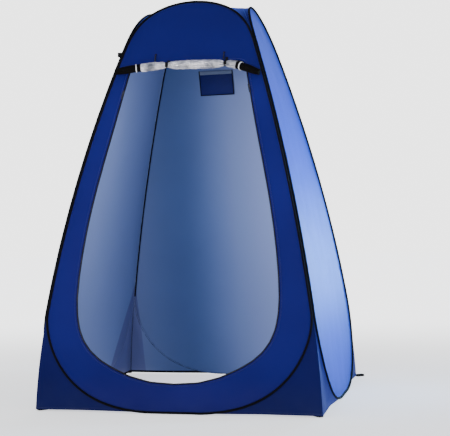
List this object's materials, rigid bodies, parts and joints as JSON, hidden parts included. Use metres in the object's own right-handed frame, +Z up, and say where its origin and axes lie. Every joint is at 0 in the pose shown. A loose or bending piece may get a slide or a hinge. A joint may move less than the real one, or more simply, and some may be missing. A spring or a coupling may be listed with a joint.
{
  "type": "privacy shower tent",
  "caption": "Tall pop-up privacy tent with sprung hoop walls, an egg-shaped doorway with a rolled-up door, and corner gussets at the foot.",
  "frame": {"origin": "middle of the square footprint on the ground", "axes": "+Z up, -Y is the side with the doorway, +X to the right of someone who faces the doorway from outside"},
  "size_m": [1.381, 1.3535, 1.8974],
  "materials": {
    "black_binding": "woven binding tape, matt",
    "black_plastic": "moulded",
    "black_webbing": "woven webbing",
    "blue_fabric": "coated taffeta, silver lining inside, soft sheen",
    "ferrule_steel": "crimped tube",
    "mesh_strip": "open mesh",
    "navy_fabric": "coated taffeta",
    "silver_lining": "silver coated taffeta, crinkled",
    "spring_steel": "sprung wire, bright",
    "zip_coil": "nylon coil",
    "zip_coil_white": "nylon coil, pale",
    "zip_metal": "black enamel"
  },
  "bodies": {
    "rear_panel": {"rear_gusset_left": "blue_fabric", "rear_gusset_right": "blue_fabric", "rear_hoop_ferrule": "ferrule_steel", "rear_hoop_sleeve": "black_binding", "rear_hoop_wire": "spring_steel", "rear_roof_gore": "blue_fabric", "rear_wall": "blue_fabric", "storage_pocket": "navy_fabric", "pocket_mouth_strip": "mesh_strip", "pocket_binding": "black_binding"},
    "left_panel": {"left_gusset_front": "blue_fabric", "left_gusset_rear": "blue_fabric", "left_hoop_ferrule": "ferrule_steel", "left_hoop_sleeve": "black_binding", "left_hoop_wire": "spring_steel", "left_roof_gore": "blue_fabric", "left_wall": "blue_fabric"},
    "front_panel": {"front_gusset_left": "blue_fabric", "front_gusset_right": "blue_fabric", "front_hoop_ferrule": "ferrule_steel", "front_hoop_sleeve": "black_binding", "front_hoop_wire": "spring_steel", "front_roof_gore": "blue_fabric", "front_wall": "blue_fabric", "door_zip_tape": "black_binding", "door_zip_coil": "zip_coil", "door_roll": "silver_lining", "door_roll_ends": "black_binding", "door_roll_coil_bands": "zip_coil_white", "tie_strap_left": "black_webbing", "tie_strap_right": "black_webbing", "toggle_tabs": "black_webbing"},
    "right_panel": {"right_gusset_front": "blue_fabric", "right_gusset_rear": "blue_fabric", "right_hoop_ferrule": "ferrule_steel", "right_hoop_sleeve": "black_binding", "right_hoop_wire": "spring_steel", "right_roof_gore": "blue_fabric", "right_wall": "blue_fabric"},
    "zip_slider_left_body": {"zip_slider_left": "zip_metal"},
    "zip_slider_right_body": {"zip_slider_right": "zip_metal"},
    "zip_pull_left_body": {"zip_pull_left": "zip_metal"},
    "zip_pull_right_body": {"zip_pull_right": "zip_metal"},
    "toggle_left_body": {"toggle_left": "black_plastic"},
    "toggle_right_body": {"toggle_right": "black_plastic"},
    "stake_loop_rear_left_body": {"stake_loop_rear_left": "black_webbing"},
    "stake_loop_rear_right_body": {"stake_loop_rear_right": "black_webbing"},
    "stake_loop_front_left_body": {"stake_loop_front_left": "black_webbing"},
    "stake_loop_front_right_body": {"stake_loop_front_right": "black_webbing"},
    "guy_loop_body": {"guy_loop": "black_webbing"}
  },
  "joints": [
    {"name": "fold", "type": "hinge", "parent": "rear_panel", "child": "left_panel", "pos_m": [0, 0, 3.08], "axis": [0.2091, -0.2091, 0.9553], "range_deg": [0, 65], "stiffness_Nm_per_rad": 260, "deforming": ["front_roof_gore", "right_roof_gore", "rear_roof_gore", "left_roof_gore", "front_gusset_left", "front_gusset_right", "left_gusset_front", "left_gusset_rear", "rear_gusset_left", "rear_gusset_right", "right_gusset_front", "right_gusset_rear"]},
    {"name": "fold_front_left", "type": "hinge", "parent": "left_panel", "child": "front_panel", "pos_m": [0, 0, 3.08], "axis": [-0.228, -0.228, -0.9466], "range_deg": [0, 64.37], "stiffness_Nm_per_rad": 260},
    {"name": "fold_rear_right", "type": "hinge", "parent": "rear_panel", "child": "right_panel", "pos_m": [0, 0, 3.08], "axis": [-0.228, -0.228, 0.9466], "range_deg": [0, 64.37], "stiffness_Nm_per_rad": 260},
    {"name": "zip_left_slide", "type": "slide", "parent": "front_panel", "child": "zip_slider_left_body", "axis": [-0.2031, -0.2487, -0.9471], "range_m": [0, 0.38]},
    {"name": "zip_pull_left_hinge", "type": "hinge", "parent": "zip_slider_left_body", "child": "zip_pull_left_body", "pos_m": [-0.30165, -0.3971, 1.45189], "axis": [-0.9792, 0.0529, 0.1961], "range_deg": [0, 120]},
    {"name": "zip_right_slide", "type": "slide", "parent": "front_panel", "child": "zip_slider_right_body", "axis": [0.2031, -0.2487, -0.9471], "range_m": [0, 0.38]},
    {"name": "zip_pull_right_hinge", "type": "hinge", "parent": "zip_slider_right_body", "child": "zip_pull_right_body", "pos_m": [0.30165, -0.3971, 1.45189], "axis": [-0.9792, -0.0529, -0.1961], "range_deg": [0, 120]},
    {"name": "toggle_left_swing", "type": "hinge", "parent": "front_panel", "child": "toggle_left_body", "pos_m": [-0.1585, -0.33946, 1.62993], "axis": [-1, 0, 0], "range_deg": [0, 60]},
    {"name": "toggle_right_swing", "type": "hinge", "parent": "front_panel", "child": "toggle_right_body", "pos_m": [0.175, -0.34257, 1.61993], "axis": [-1, 0, 0], "range_deg": [0, 60]},
    {"name": "stake_loop_rear_left_hinge", "type": "hinge", "parent": "rear_panel", "child": "stake_loop_rear_left_body", "pos_m": [-0.64883, 0.64883, 0.003], "axis": [0.7071, 0.7071, 0], "range_deg": [0, 80], "stiffness_Nm_per_rad": 0.02},
    {"name": "stake_loop_rear_right_hinge", "type": "hinge", "parent": "rear_panel", "child": "stake_loop_rear_right_body", "pos_m": [0.64883, 0.64883, 0.003], "axis": [0.7071, -0.7071, 0], "range_deg": [0, 80], "stiffness_Nm_per_rad": 0.02},
    {"name": "stake_loop_front_left_hinge", "type": "hinge", "parent": "front_panel", "child": "stake_loop_front_left_body", "pos_m": [-0.64388, -0.64388, 0.008], "axis": [-0.7071, 0.7071, 0], "range_deg": [0, 150], "stiffness_Nm_per_rad": 0.02},
    {"name": "stake_loop_front_right_hinge", "type": "hinge", "parent": "front_panel", "child": "stake_loop_front_right_body", "pos_m": [0.64388, -0.64388, 0.008], "axis": [-0.7071, -0.7071, 0], "range_deg": [0, 150], "stiffness_Nm_per_rad": 0.02},
    {"name": "guy_loop_hinge", "type": "hinge", "parent": "left_panel", "child": "guy_loop_body", "pos_m": [-0.3322, -0.315, 1.648], "axis": [0, 0, 1], "range_deg": [-35, 45], "stiffness_Nm_per_rad": 0.02}
  ],
  "couplings": [
    {"joint": "fold_front_left", "follows": "fold", "ratio": 0.99},
    {"joint": "fold_rear_right", "follows": "fold", "ratio": 0.99}
  ]
}
